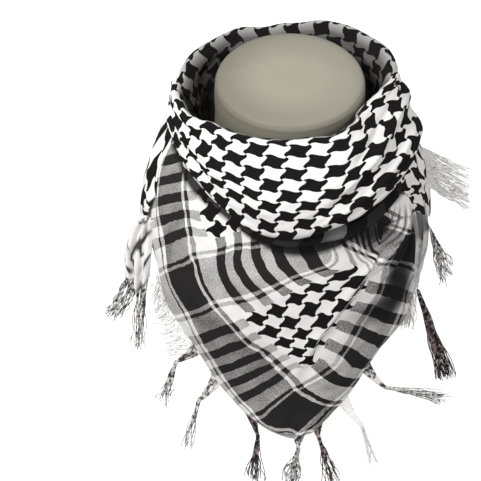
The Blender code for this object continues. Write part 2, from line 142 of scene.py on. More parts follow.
def spread2d(rows, x, y, scale, smooth):  # thin plate surface through rows of x, y and two values
    marks = np.array([row[:2] for row in rows], float) * scale
    values = np.array([row[2:4] for row in rows], float)

    def kernel(d2):
        return 0.5 * d2 * np.log(d2 + 1e-9)

    size = len(marks)
    gap = ((marks[:, None] - marks[None]) ** 2).sum(-1)
    left = np.zeros((size + 3, size + 3))
    left[:size, :size] = kernel(gap) + np.eye(size) * smooth
    left[:size, size] = 1
    left[:size, size + 1:] = marks
    left[size:, :size] = left[:size, size:].T
    weights = np.linalg.solve(left, np.vstack([values, np.zeros((3, 2))]))
    spots = np.stack([np.ravel(x) * scale[0], np.ravel(y) * scale[1]], -1)
    out = np.empty((len(spots), 2))
    batch = 20000
    for start in range(0, len(spots), batch):
        part = spots[start:start + batch]
        far = ((part[:, None] - marks[None]) ** 2).sum(-1)
        out[start:start + batch] = kernel(far) @ weights[:size] + weights[size] + part @ weights[size + 1:]
    return out.reshape(np.shape(x) + (2,))


class Wire:
    def __init__(self, tree, socket):
        self.tree = tree
        self.socket = socket

    def maths(self, kind, other=0.0, clamp=False):
        node = self.tree.nodes.new("ShaderNodeMath")
        node.operation = kind
        node.use_clamp = clamp
        self.tree.links.new(self.socket, node.inputs[0])
        plug(self.tree, other, node.inputs[1])
        return Wire(self.tree, node.outputs[0])

    def __add__(self, other):
        return self.maths("ADD", other)

    def __sub__(self, other):
        return self.maths("SUBTRACT", other)

    def __mul__(self, other):
        return self.maths("MULTIPLY", other)

    def __truediv__(self, other):
        return self.maths("DIVIDE", other)

    def __gt__(self, other):
        return self.maths("GREATER_THAN", other)

    def __lt__(self, other):
        return self.maths("LESS_THAN", other)

    def flip(self):
        return self.maths("MULTIPLY", -1.0) + 1.0

    def cap(self):
        return self.maths("ADD", 0.0, True)

    def part(self):
        return self.maths("FRACT")


def plug(tree, value, socket):
    if isinstance(value, Wire):
        tree.links.new(value.socket, socket)
    else:
        socket.default_value = value


def addNode(tree, kind, settings=None, out=0, **inputs):
    node = tree.nodes.new(kind)
    for key, value in (settings or {}).items():
        setattr(node, key, value)
    for key, value in inputs.items():
        plug(tree, value, node.inputs[key.replace("_", " ")])
    return Wire(tree, node.outputs[out])


def noise(tree, spot, scale, detail=2.0, out=0):
    return addNode(tree, "ShaderNodeTexNoise", None, out, Vector=spot, Scale=scale, Detail=detail)


def vectorMaths(tree, kind, *values):
    made = addNode(tree, "ShaderNodeVectorMath", {"operation": kind})
    for k, value in enumerate(values):
        plug(tree, value, made.socket.node.inputs[k])
    return made


def mixColours(tree, share, first, second):
    node = tree.nodes.new("ShaderNodeMix")
    node.data_type = "RGBA"
    plug(tree, share, node.inputs[0])
    plug(tree, first, node.inputs[6])
    plug(tree, second, node.inputs[7])
    return Wire(tree, node.outputs[2])


def startMaterial(name, roughness):
    finish = bpy.data.materials.new(name)
    finish.use_nodes = True
    shader = finish.node_tree.nodes["Principled BSDF"]
    shader.inputs["Roughness"].default_value = roughness
    shader.inputs["Specular IOR Level"].default_value = 0.2
    return finish, finish.node_tree, shader


def endMaterial(finish, tree, shader, colour, height=None, bump=None):
    plug(tree, colour, shader.inputs["Base Color"])
    if bump:
        relief = addNode(tree, "ShaderNodeBump", None, 0, Strength=bump[0], Distance=bump[1], Height=height)
        plug(tree, relief, shader.inputs["Normal"])
    return finish


clothLook = {
    "white": (0.88, 0.86, 0.855, 1.0),
    "black": (0.006, 0.005, 0.005, 1.0),
    "period": 0.0215,  # metres, like all that follows in from an edge of the cloth
    "bars": (0.070, 0.167),
    "field": 0.250,
    "lines": [(0.004, 0.006), (0.010, 0.046), (0.049, 0.0535), (0.183, 0.1865), (0.190, 0.226), (0.229, 0.2325)],
    "swirl": 1.7,
    "greyAcross": 0.46,  # share of black where only the second system is dark
    "greyAlong": 0.68,
    "waver": 0.0034,
    "weave": (0.35, 0.0008),
}


def clothMaterial(name, look, dim=1.0):
    finish, tree, shader = startMaterial(name, 0.92)
    uv = addNode(tree, "ShaderNodeUVMap", {"uv_map": "cloth"})
    shift = vectorMaths(tree, "SUBTRACT", noise(tree, uv, 110.0, out=1), (0.5, 0.5, 0.5))
    moved = vectorMaths(tree, "MULTIPLY_ADD", shift, (look["waver"], look["waver"], 0.0), uv)
    split = addNode(tree, "ShaderNodeSeparateXYZ", Vector=moved)
    sides = [Wire(tree, split.socket.node.outputs[k]) for k in (0, 1)]
    start, end = look["bars"]
    period = look["period"]
    black, phase, zone = [], [], []
    for d in sides:
        later = d > 0.2
        turn = ((d - start - later * (look["field"] - start)) / period).part() * 2.0
        bars = (d > start) * (d < end) + (d > look["field"])
        dark = bars * (turn < 1.0)
        for low, high in look["lines"]:
            dark = dark + (d > low) * (d < high)
        black.append(dark.cap())
        phase.append(turn)
        wide = (d > start - period / 4) * (d < end + period / 4) + (d > look["field"] - period / 4)
        zone.append(wide.cap())
    u, v = black
    across, along = phase[0].part() - 0.5, phase[1].part() - 0.5
    far = across.maths("ABSOLUTE").maths("MAXIMUM", along.maths("ABSOLUTE"))
    swing = (far.flip() - 0.5) * (2.0 * look["swirl"])
    first = (across + swing * along).maths("ABSOLUTE") > (along - swing * across).maths("ABSOLUTE")
    inZone = zone[0] * zone[1]
    grain = noise(tree, uv, 900.0, 1.0)
    fuzz = (grain - 0.5) * 1.1 + (noise(tree, uv, 32.0) - 0.5) * 0.6
    onlyV = u.flip() * v
    onlyU = u * v.flip()
    share = u * v * ((inZone.flip() * grain * 0.03).flip())
    share = share + onlyV * (inZone * first + inZone.flip() * (fuzz + look["greyAcross"]))
    share = share + onlyU * (inZone * first.flip() + inZone.flip() * (fuzz + look["greyAlong"]))
    # dim below 1 gives a copy of the cloth with darker white, a painted shade
    white = tuple(c * dim for c in look["white"][:3]) + (1.0,)
    colour = mixColours(tree, share.cap(), white, look["black"])
    # painted shade: the shade layer darkens the cloth towards black where shadow and shade fall
    paintedShade = addNode(tree, "ShaderNodeUVMap", {"uv_map": "shade"})
    paintedShade = addNode(tree, "ShaderNodeSeparateXYZ", Vector=paintedShade)
    colour = mixColours(tree, paintedShade.cap(), look["black"], colour)
    return endMaterial(finish, tree, shader, colour, noise(tree, uv, 420.0, 3.0), look["weave"])


def threadMaterial(name, dark, light, share):
    finish, tree, shader = startMaterial(name, 0.9)
    spot = addNode(tree, "ShaderNodeTexCoord", None, 3)
    amount = ((noise(tree, spot, 330.0) - share) * 5.0 + 0.5).cap()
    return endMaterial(finish, tree, shader, mixColours(tree, amount, dark, light))


formLook = {
    "low": (0.335, 0.32, 0.255, 1.0),
    "high": (0.365, 0.35, 0.285, 1.0),
    # colour of the painted shade on the neck form
    "shade": (0.13, 0.12, 0.09, 1.0),
    "grain": (0.08, 0.0003),
    "around": 144,
    "top": (52.0, 53.5),
    "capRings": (0.985, 0.93, 0.8, 0.6, 0.4, 0.2),
}


def formMaterial(look):
    finish, tree, shader = startMaterial("formPlastic", 0.5)
    spot = addNode(tree, "ShaderNodeTexCoord", None, 3)
    colour = mixColours(tree, noise(tree, spot, 9.0, 1.0), look["low"], look["high"])
    parts = addNode(tree, "ShaderNodeSeparateXYZ", Vector=spot).socket.node.outputs
    x, y, z = (Wire(tree, parts[k]) for k in (0, 1, 2))
    reach = (x * x + y * y).maths("SQRT")
    # painted shade: the plastic goes to the shade colour towards the cap's edge and down the neck's sides, more
    # on the left, and the top is a little darker behind the raised arch
    rim = ((reach - 0.026) * 29.0).cap() * ((x * -4.0 + 0.42).cap()) * (((z - 0.26) * 20.0).cap())
    arch = (((y - 0.0225) + x * x * 7.5) * 400.0 + 0.5).cap() * ((reach < 0.054) * 0.035)
    colour = mixColours(tree, (rim + arch).cap(), colour, look["shade"])
    return endMaterial(finish, tree, shader, colour, noise(tree, spot, 700.0), look["grain"])


clothFinish = {
    "cloth": clothMaterial("checkCotton", clothLook),
    # cloth_under: the cloth with its white dimmed to 0.6, painted shade for the layers under the cowl and the
    # triangle
    "cloth_under": clothMaterial("checkCottonUnderShaded", clothLook, 0.6),
}
paleThread = threadMaterial("paleThread", (0.26, 0.235, 0.21, 1.0), (0.92, 0.90, 0.87, 1.0), 0.31)
mixedThread = threadMaterial("mixedThread", (0.035, 0.030, 0.030, 1.0), (0.72, 0.69, 0.66, 1.0), 0.48)
darkThread = threadMaterial("darkThread", (0.018, 0.014, 0.014, 1.0), (0.36, 0.29, 0.27, 1.0), 0.55)
print("finishes made")


def meshFrom(bm, name):
    mesh = bpy.data.meshes.new(name)
    bm.to_mesh(mesh)
    bm.free()
    return mesh


def addObject(name, data):
    obj = bpy.data.objects.new(name, data)
    bpy.context.scene.collection.objects.link(obj)
    return obj


def settle(obj, node):
    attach(obj, "root")
    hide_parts(node)
    return obj


def makeSheet(name, points, uv, thick, slot, node, shade=None):
    rows, columns = points.shape[:2]
    if np.sum(gridNormals(points) * outwardNormals(points)) < 0:
        points = points[::-1]
        uv = uv[::-1]
        shade = None if shade is None else shade[::-1]
    bm = bmesh.new()
    bmesh.ops.create_grid(bm, x_segments=rows - 1, y_segments=columns - 1, size=1.0)
    mesh = meshFrom(bm, name)
    spots = np.empty(len(mesh.vertices) * 3)
    mesh.vertices.foreach_get("co", spots)
    spots = spots.reshape(-1, 3)
    i = np.rint((spots[:, 0] + 1) / 2 * (rows - 1)).astype(int)
    j = np.rint((spots[:, 1] + 1) / 2 * (columns - 1)).astype(int)
    mesh.vertices.foreach_set("co", (points[i, j] * mm).ravel())
    corners = np.empty(len(mesh.loops), int)
    mesh.loops.foreach_get("vertex_index", corners)
    layer = mesh.uv_layers.new(name="cloth")
    layer.data.foreach_set("uv", (uv[i, j] * mm)[corners].ravel())
    # shade layer: painted shade factor per vertex, 1 where the cloth keeps its own colour
    layer = mesh.uv_layers.new(name="shade")
    paintedShade = np.ones((rows, columns)) if shade is None else shade
    layer.data.foreach_set("uv", np.stack([paintedShade[i, j], 0 * i], -1)[corners].ravel())
    mesh.polygons.foreach_set("use_smooth", np.ones(len(mesh.polygons), bool))
    mesh.materials.append(clothFinish[slot])
    mesh.update()
    obj = addObject(name, mesh)
    wall = obj.modifiers.new("wall", "SOLIDIFY")
    wall.thickness = thick * mm
    wall.offset = 0.0
    return settle(obj, node)


def makeThreads(name, paths, radius, node, finish, bulges=None):
    data = bpy.data.curves.new(name, "CURVE")
    data.dimensions = "3D"
    data.bevel_depth = radius * mm
    data.bevel_resolution = 1
    data.use_fill_caps = True
    for k, path in enumerate(paths):
        spline = data.splines.new("POLY")
        spline.points.add(len(path) - 1)
        flat = np.concatenate([path * mm, np.ones((len(path), 1))], 1)
        spline.points.foreach_set("co", flat.ravel())
        thick = np.linspace(1.0, 0.6, len(path))
        spline.points.foreach_set("radius", thick if bulges is None else thick * bulges[k])
    data.materials.append(finish)
    return settle(addObject(name, data), node)


def meanSpan(points):
    first = np.linalg.norm(np.diff(points, axis=0), axis=-1).sum(0).mean()
    second = np.linalg.norm(np.diff(points, axis=1), axis=-1).sum(1).mean()
    return round(first * mm, 3), round(second * mm, 3)


# neck form: drop, half width, half depth, offset to the back
formRings = [
    (0, 52, 53.5, 0), (1.2, 57, 58.5, 0), (4.5, 60.3, 61.8, 0), (10, 61, 62.5, 0), (40, 61, 62.5, 0),
    (58, 63, 64, 0), (74, 70, 69, -1), (92, 84, 77, -5), (110, 97, 84, -8), (130, 103, 89, -10),
    (155, 103, 91, -8), (186, 97, 87, -3), (220, 84, 79, 4), (258, 68, 68, 10), (296, 53, 58, 14),
    (326, 46, 52, 14), (342, 43.5, 49.5, 14), (346, 42, 48, 14),
]


def joinRings(bm, upper, lower):
    count = len(upper)
    for k in range(count):
        n = (k + 1) % count
        bm.faces.new((upper[k], upper[n], lower[n], lower[k]))


def makeForm(look):
    drops = np.concatenate([np.linspace(0, 12, 13), np.linspace(14, formHeight, 84)])
    turn = np.linspace(0, 2 * math.pi, look["around"], endpoint=False)
    bm = bmesh.new()
    rings = []
    for drop in drops:
        wide, deep, offset = tableRow(formRings, drop)
        y = deep * np.sin(turn) + offset
        z = formHeight - drop + neckTilt * y * max(0.0, 1.0 - drop / 60.0)
        rings.append([bm.verts.new((wide * math.cos(t) * mm, a * mm, b * mm)) for t, a, b in zip(turn, y, z)])
    inner = rings[0]
    for share in look["capRings"]:
        fresh = []
        for t in turn:
            x, y = look["top"][0] * share * math.cos(t), look["top"][1] * share * math.sin(t)
            arch = 1.3 * math.exp(-(((y - 22.0 + 0.0075 * x * x) / 3.6) ** 2)) * min(1.0, (1 - share) * 6)
            z = formHeight + neckTilt * y + arch
            fresh.append(bm.verts.new((x * mm, y * mm, z * mm)))
        joinRings(bm, fresh, inner)
        inner = fresh
    middle = bm.verts.new((0.0, 0.0, formHeight * mm))
    for k in range(len(inner)):
        bm.faces.new((inner[k], middle, inner[(k + 1) % len(inner)]))
    for upper, lower in zip(rings, rings[1:]):
        joinRings(bm, upper, lower)
    bm.faces.new(rings[-1])
    bmesh.ops.recalc_face_normals(bm, faces=bm.faces)
    for face in bm.faces:
        face.smooth = len(face.verts) < 5
    mesh = meshFrom(bm, "neckForm")
    mesh.materials.append(formMaterial(look))
    return settle(addObject("neckForm", mesh), "neck_form")


neckForm = makeForm(formLook)
print("neck form made")

# cowl: share of width, then angle, radius and drop of the rim, the same of the lower fold, flap depth
cowlStations = [
    (0.00, -101, 94.4, 13.5, -95, 95.5, 36.6, 34), (0.10, -85, 93.6, 13, -77, 94.2, 43, 34),
    (0.20, -65.9, 90.8, 12.2, -62, 96, 54, 32), (0.30, -49.9, 82.3, 10.3, -44.9, 99.4, 58.8, 22),
    (0.40, -31, 81, 8.3, -28, 105, 67.5, 13), (0.50, -10.3, 81.6, 6, -10.1, 111, 77.1, 11),
    (0.60, 9.4, 79.5, 6, 7.7, 111.9, 75.8, 11), (0.70, 27.3, 82.4, 5.6, 25.6, 109.1, 70, 12),
    (0.78, 41.4, 77.3, 7.3, 41.7, 106.6, 66.5, 15), (0.86, 60.8, 69, 8.3, 58, 104.4, 63, 20),
    (0.93, 82, 74.4, 8.1, 74.1, 103.5, 62, 28), (1.00, 100.9, 90, 8.6, 92.9, 104.5, 72, 34),
]
# share, part of the way down, millimetres from the left edge of the cloth, from the right edge
cowlMarks = [
    (0.513, 0.14, 390, 390), (0.407, 0.20, 368.5, 411.5), (0.627, 0.15, 411.5, 368.5),
    (0.460, 0.29, 368.5, 390), (0.560, 0.27, 390, 368.5), (0.673, 0.29, 411.5, 347), (0.417, 0.43, 347, 390),
    (0.510, 0.35, 368.5, 368.5), (0.610, 0.36, 390, 347), (0.727, 0.38, 411.5, 325.5),
    (0.463, 0.50, 347, 368.5), (0.550, 0.44, 368.5, 347), (0.657, 0.49, 390, 325.5), (0.507, 0.57, 347, 347),
    (0.593, 0.57, 368.5, 325.5), (0.693, 0.62, 390, 304), (0.753, 0.47, 411.5, 304), (0.467, 0.66, 325.5, 347),
    (0.550, 0.66, 347, 325.5), (0.633, 0.66, 368.5, 304), (0.737, 0.78, 390, 282.5),
    (0.797, 0.67, 411.5, 282.5), (0.500, 0.79, 325.5, 325.5), (0.590, 0.75, 347, 304),
    (0.663, 0.78, 368.5, 282.5), (0.547, 0.89, 325.5, 304), (0.427, 0.85, 304, 347), (0.390, 0.72, 304, 368.5),
    (0.430, 0.56, 325.5, 368.5), (0.360, 0.59, 325.5, 390), (0.353, 0.38, 347, 411.5),
    (0.320, 0.56, 325.5, 411.5), (0.297, 0.25, 347, 433), (0.240, 0.11, 347, 454.5), (0.257, 0.56, 325.5, 433),
    (0.233, 0.38, 325.5, 454.5), (0.337, 0.75, 304, 390), (0.287, 0.69, 304, 411.5), (0.460, 0.04, 390, 411.5),
    (0.573, 0.05, 411.5, 390), (0.363, 0.09, 368.5, 433), (0.710, 0.06, 433, 368.5), (0.763, 0.19, 433, 347),
    (0.823, 0.38, 433, 325.5), (0.890, 0.31, 454.5, 325.5), (0.860, 0.58, 433, 304), (0.907, 0.47, 454.5, 304),
    (0.920, 0.68, 454.5, 282.5), (0.887, 0.78, 433, 282.5),
]
cowlCreases = [
    (8, 30, 120, 62, -7, 2.2, 5, 3), (6, 42, 112, 84, -8, -2, 4, 4), (14, 62, 130, 104, -6, 2, 4, 3),
    (20, 12, 96, 34, -5, -1.6, 4, 5), (40, 80, 150, 112, -4, 1.4, 6, 3), (292, 40, 196, 66, 7, 2.4, 3, 5),
    (290, 56, 178, 88, 8, -2.2, 4, 4), (286, 74, 186, 100, 7, 2.2, 3, 4), (282, 24, 214, 40, 5, -1.8, 5, 4),
    (276, 92, 206, 108, 4, 1.6, 4, 3), (240, 18, 160, 50, 6, 1, 6, 8), (96, 26, 190, 46, -5, 0.9, 8, 8),
]
cowlLook = {"grid": (240, 74), "span": (300, 110), "marks": (3.0, 1.1), "smooth": 0.02, "wall": 1.3}


def cowlShape(count, down):
    share = np.linspace(0, 1, count)
    at = [-1.3, -1.0, -0.5, -0.12, *np.linspace(0, 1, 9), 1.05, 1.1, 1.2]
    rows = []
    for s in share:
        rimTurn, rim, rimDrop, foldTurn, fold, foldDrop, flap = tableRow(cowlStations, s)
        reach = math.hypot(fold - rim, foldDrop - rimDrop)
        inner = max(62.9, rim - 0.45 * flap - 6.0 - 30.0 * max(0.0, s - 0.8))
        line = [(rimTurn, max(63.6, inner - 9.0), rimDrop + flap + 12.0)]
        for t in (0.0, 0.5):
            line.append((rimTurn, inner + (rim - 4.5 - inner) * t, rimDrop + flap * (1 - t) + 3.0 * t))
        line.append((rimTurn, rim - 4.0, rimDrop + 1.0))
        bulge = 0.25 - 0.19 * math.exp(-((1 - s) / 0.1) ** 2) - 0.15 * math.exp(-(s / 0.08) ** 2)
        near = math.exp(-((min(s, 1 - s)) / 0.22) ** 2)
        for t in np.linspace(0, 1, 9):
            w = ((1 - t) ** 3, 3 * t * (1 - t) ** 2, 3 * t * t * (1 - t), t ** 3)
            radius = w[0] * rim + w[1] * (rim + bulge * reach) + w[2] * (fold + 0.15 * reach) + w[3] * fold
            drop = w[0] * rimDrop + w[1] * (rimDrop + 0.2 * reach)
            drop = drop + w[2] * (foldDrop - 0.33 * reach) + w[3] * foldDrop
            wave = 2.2 * near * math.sin(2 * math.pi * (2.2 * t + 0.6 * s))
            wave += 1.2 * math.sin(2 * math.pi * (1.4 * t + 1.1 * s))
            line.append((rimTurn + (foldTurn - rimTurn) * t, radius + wave * math.sin(math.pi * t), drop))
        for inset, below in ((3.2, 2.4), (7.0, 0.4), (8.2, -5.0)):
            line.append((foldTurn, fold - inset, foldDrop + below))
        rows.append([place(a, r, d) for a, r, d in line])
    wanted = np.concatenate([np.linspace(-1.3, -0.1, 15)[:-1], np.linspace(-0.1, 0.06, 8)[:-1],
                             np.linspace(0.06, 1.0, down)[:-1], np.linspace(1.0, 1.2, 9)])
    grid = resample(np.array(rows), at, wanted)
    part, t = np.meshgrid(share, wanted, indexing="ij")
    return grid, part, t


cowl, cowlShare, cowlDown = cowlShape(*cowlLook["grid"])
across, down = cowlShare * cowlLook["span"][0], cowlDown * cowlLook["span"][1]
front = np.clip((cowlDown + 0.05) / 0.1, 0, 1) * np.clip((1.06 - cowlDown) / 0.1, 0, 1)
lift = creases(across, down, cowlCreases) * front
lift += ripple(across, down, 34.0, 0.7, 4) + ripple(across, down, 13.0, 0.22, 5)
cowl = cowl + outwardNormals(cowl) * lift[..., None]
cowlTucks = [
    (6, 34, 112, 70, -7, 7), (10, 52, 124, 96, -8, -6), (18, 18, 92, 36, -5, 5), (292, 44, 206, 70, 7, -7),
    (288, 64, 184, 96, 8, 7), (284, 26, 226, 42, 5, -5), (280, 84, 210, 104, 6, -6), (268, 8, 232, 16, 3, 5),
]
cowlUv = spread2d(cowlMarks, cowlShare, cowlDown, cowlLook["marks"], cowlLook["smooth"])
cowlUv = cowlUv + tucks(across, down, cowlTucks)
# painted shade: the part of the cowl that turns down inside the collar goes nearly black
cowlShade = 0.05 + 0.95 * np.clip((cowlDown + 0.24) / 0.24, 0, 1)
cowlCloth = makeSheet("cowlCloth", cowl, cowlUv, cowlLook["wall"], "cloth", "front_cowl", cowlShade)
print("cowl made", meanSpan(cowl))

# second fold under the cowl: angle, radius and drop of its edge
lipEdge = [
    (-22, 105.5, 80), (-12, 108, 85.3), (2, 108.5, 89.2), (13, 108.4, 87), (24, 108.8, 86), (34, 109.7, 84),
    (45, 108.7, 78.5), (55, 107.4, 72.5),
]
# light: middle and width of the lighter stretch in the painted shadow on the second fold
lipLook = {"grid": (120, 17), "turns": (-22.0, 55.0), "span": (110, 16), "light": (0.56, 0.1), "wall": 1.1}


def lipShape(look):
    first, last = look["turns"]
    rows = []
    for turn in np.linspace(first, last, look["grid"][0]):
        edge, drop = tableRow(lipEdge, turn)
        fade = min(1.0, (turn - first) / 16.0, (last - turn) / 14.0)
        line = [(edge - 5.2, drop - 5.0 - 2.0 * fade), (edge - 1.2, drop - 2.8), (edge, drop)]
        line += [(edge - 1.6, drop + 2.2), (edge - 5.0, drop + 2.2)]
        rows.append([place(turn, r, d) for r, d in line])
    return resample(np.array(rows), range(5), np.linspace(0, 4, look["grid"][1]))


lip = lipShape(lipLook)
part, step = shares(*lipLook["grid"])
waves = ripple(part * lipLook["span"][0], step * lipLook["span"][1], 26.0, 0.5, 8)
lip = lip + outwardNormals(lip) * waves[..., None]
lipUv = np.stack([420 + part * 80 - step * 12, 420 - part * 80 - step * 12], -1)
# painted shadow: the second fold under the cowl is nearly black, with a slightly lighter stretch near its middle
middle, width = lipLook["light"]
lipShade = 0.03 + 0.26 * np.exp(-((part - middle) / width) ** 2)
cowlUnderfold = makeSheet("cowlUnderfold", lip, lipUv, lipLook["wall"], "cloth_under", "cowl_second_fold",
                          lipShade)
print("second fold made", meanSpan(lip))

# hanging front triangle: drop, half width, front depth
drapeOvals = [
    (40, 83, 84), (60, 97.2, 92), (80, 108, 96.5), (100, 114.4, 100.5), (120, 118, 104), (151, 118.5, 107),
    (188.5, 115.6, 108), (208.4, 109.8, 109), (227.4, 100.9, 110), (246.5, 90.9, 111.5), (264.6, 78.7, 113),
    (274.3, 72.6, 113.5), (292.7, 62.4, 114),
]
# free edge: angle, drop
bibEdge = [
    (-82, 127), (-72, 143.6), (-65, 159), (-59, 190.2), (-54, 207.9), (-49, 228.8), (-43, 246.6), (-36, 262.3),
    (-24, 273.5), (-8, 281), (10, 285), (22, 281.5), (31, 269), (36, 258.1), (39, 246.5), (43, 234.9),
    (47, 222.4), (53, 212), (60, 206),
]
bibTop = [(-82, 46), (-60, 53), (-40, 60), (-20, 72), (0, 82), (35, 80), (60, 70)]
# angle, drop, millimetres from the left edge of the cloth, from the right edge
bibMarks = [
    (-12.5, 165.1, 75.4, 161.4), (-7.5, 178.2, 75.4, 139.9), (-2, 188, 75.4, 118.4), (3.5, 198.3, 75.4, 96.9),
    (9, 207.8, 75.4, 75.4), (-5, 156.7, 96.9, 161.4), (0, 168.6, 96.9, 139.9), (5, 181, 96.9, 118.4),
    (9, 189.5, 96.9, 98), (2.5, 144.2, 118.4, 161.4), (8, 154.6, 118.4, 139.9), (13, 168.6, 118.4, 118.4),
    (10.5, 134.6, 139.9, 161.4), (16, 144.3, 139.9, 139.9), (21, 155.7, 139.9, 118.4),
    (20.5, 127, 161.4, 161.4), (25.5, 134.4, 161.4, 139.9), (29.5, 144.9, 161.4, 120), (22.5, 111.8, 175, 175),
    (-44, 126.2, 47.5, 230), (-39.5, 145.6, 47.5, 208), (-31.5, 164.9, 47.5, 183), (-24.5, 175.3, 47.5, 168),
    (-19.5, 184.5, 47.5, 150), (-13, 196.1, 47.5, 126), (-8, 206.9, 47.5, 105), (0.5, 226.7, 47.5, 66),
    (11, 247.6, 47.5, 28), (25, 262.1, 47.5, 8), (-36.5, 146.4, 52, 206), (-14.5, 186.6, 58, 136),
    (-56, 153.3, 10, 226), (-43, 131, 44, 226), (-33.5, 162.6, 46, 190), (-46, 184.7, 10, 190),
    (-57.5, 149.8, 6, 231), (-45, 129.4, 44, 231), (-33.5, 111.3, 62, 231), (-24.5, 101.1, 85, 231),
    (-12.5, 93.5, 124, 231), (-46.5, 188.6, 8, 186), (-34, 169.4, 44, 186), (-22.5, 153.5, 68, 186),
    (-11.5, 140.7, 96.9, 186), (-2.5, 130.1, 125, 186), (4.5, 122.8, 146, 186), (12, 118.8, 162, 186),
    (17, 114.3, 172, 186), (-28, 114.1, 75.4, 224), (-21.5, 110.6, 96.9, 218), (-16, 107.1, 112, 219),
    (-4.5, 104.8, 139.9, 215), (10.5, 105.5, 164, 203), (-44.5, 211.6, 4, 161.4), (-41, 224.5, 4, 139.9),
    (-39.5, 239.1, 4, 118.4), (-36, 250.4, 4, 96.9), (-31, 260.5, 4, 75.4), (-23, 272.6, 0, 47),
    (-19, 273.3, 10, 46), (2.5, 237.1, 46, 46), (21.5, 259.8, 46, 10), (6.5, 284.2, 10, 10),
    (2.5, 284.4, 1, 10), (18.5, 283.8, 10, 1), (12.5, 284.9, 1, 1), (31, 269, 42, 0), (5, 234.2, 51, 52),
    (-10, 250.7, 30, 54), (-54.5, 117.6, 22, 255.4), (-57, 101.1, 26, 276.9), (-61.5, 88.1, 28, 298.4),
    (-45, 97.8, 54, 262), (-40.5, 92.8, 62, 268), (32.5, 116.2, 186, 90), (31.5, 120.5, 175, 150),
    (0.5, 218.4, 53, 66),
]
# the same past the pleat
rightMarks = [
    (32.5, 164.9, 139.9, 50), (27.5, 186.7, 118.4, 50), (24.5, 206, 96.9, 50), (17.5, 219.5, 75.4, 52),
    (59.5, 206.4, 139.9, 3), (49, 218, 118.4, 3), (43.5, 233.4, 96.9, 3), (38.5, 247.6, 75.4, 2),
    (18, 172.2, 118.4, 64), (13, 189.3, 96.9, 66), (25.5, 161.7, 139.9, 66), (35.5, 151.4, 161.4, 64),
    (12.5, 211, 75.4, 66), (25, 262.1, 47.5, 8), (11, 247.6, 47.5, 28), (5, 234.2, 51, 52), (31, 269, 42, 0),
    (21.5, 259.8, 46, 10), (5, 221.7, 62, 64), (39.5, 125.5, 186, 50), (55, 142.9, 186, 20),
    (48.5, 163.4, 165, 14), (36.5, 161.6, 150, 52), (46, 109.5, 215, 60), (58, 110, 240, 40),
    (34.5, 259.2, 58, 2), (54, 180.5, 160, 4), (34, 126, 180, 64),
]
bibFolds = [  # from turn, drop, to turn, drop, height, half width
    (57, 92, 43, 128, 3.4, 6.5), (60, 104, 34, 172, -3, 7), (58, 96, 26, 205, 2.6, 8),
    (-68, 64, -58, 190, 2.2, 8), (-50, 84, -38, 205, -1.8, 9), (-24, 96, -6, 250, 1.8, 11),
    (44, 150, 40, 225, 2, 8),
]
bibCreases = [
    (112, 92, 62, 128, -6, 2.4, 2.2, 3.2), (112, 96, 68, 136, -7, -1.8, 2.6, 2.6),
    (113, 99, 74, 144, -7, 2.2, 2.2, 3), (114, 103, 80, 156, -7, -2, 3, 3),
    (114, 107, 86, 168, -6, 2, 2.4, 3.4), (76, 112, 10, 214, 5, 2.2, 1.6, 7),
    (104, 140, 50, 206, 5, -1.6, 7, 6), (-70, 118, -30, 196, 4, 1.4, 5, 7), (-96, 100, -84, 176, 3, 1.6, 5, 5),
    (-112, 86, -108, 150, 3, -1.6, 5, 5), (-52, 210, -8, 244, 4, -1.2, 6, 6), (-40, 176, 4, 226, 5, 1.5, 5, 8),
    (-66, 196, -38, 226, 2, 1, 5, 5), (18, 226, 60, 236, 4, 1.1, 7, 6), (30, 200, 80, 214, 4, -1, 7, 7),
    (-8, 260, 30, 258, 3, -0.9, 8, 6),
]
bibLook = {"turns": (-82.0, 60.0), "grid": (210, 170), "around": 1.95, "marks": (0.0195, 0.01), "wall": 1.3}


def bibShape(turns, share, inset=0.0, extra=0.0):
    angle, part = np.meshgrid(turns, share, indexing="ij")
    top = tableValue(bibTop, angle, 1)
    end = tableValue(bibEdge, angle, 1) + extra
    drop = top + (end - top) * part
    grid = oval(angle, drop, drapeOvals)
    lift = np.zeros_like(drop)
    for turnA, dropA, turnB, dropB, height, half in bibFolds:
        run = np.clip((drop - dropA) / (dropB - dropA), 0, 1)
        middle = turnA + (turnB - turnA) * run ** 0.8
        width = half * (0.75 + 0.5 * run)
        fade = np.clip((drop - dropA + 14) / 24, 0, 1) * np.clip((dropB + 14 - drop) / 28, 0, 1)
        lift += height * fade * np.exp(-((angle - middle) / width) ** 2)
    turn = np.radians(angle)
    out = np.stack([np.sin(turn), -np.cos(turn), 0 * turn], -1)
    return grid + out * (lift - inset)[..., None], angle, drop


bibStart, bibEnd = bibLook["turns"]
bibCount, bibDown = bibLook["grid"]
bib, bibAngle, bibDrop = bibShape(np.linspace(bibStart, bibEnd, bibCount), np.linspace(0.0, 1.0, bibDown))
across = bibAngle * bibLook["around"]
calm = np.clip((bibAngle - bibStart) / 6, 0, 1) * np.clip((bibEnd + 0.5 - bibAngle) / 5, 0, 1)
lift = creases(across, bibDrop, bibCreases) + ripple(across, bibDrop, 46.0, 0.8, 11)
lift += ripple(across, bibDrop, 15.0, 0.22, 12)
bib = bib + outwardNormals(bib) * (lift * calm)[..., None]
pleat = [(96, 42), (112, 38.5), (130, 33), (152, 26), (166, 19.5), (186, 12), (210, 9.5), (226, 9)]
pastPleat = bibAngle - tableValue(pleat, bibDrop, 1)
hidden = np.clip(pastPleat / 1.2 + 0.5, 0, 1) * np.clip((226 - bibDrop) / 16, 0, 1) * (bibDrop > 96)
bibUv = spread2d(bibMarks, bibAngle, bibDrop, bibLook["marks"], 0.004)
rightUv = spread2d(rightMarks, bibAngle, bibDrop, bibLook["marks"], 0.06)
bibUv = bibUv * (1 - hidden[..., None]) + rightUv * hidden[..., None]
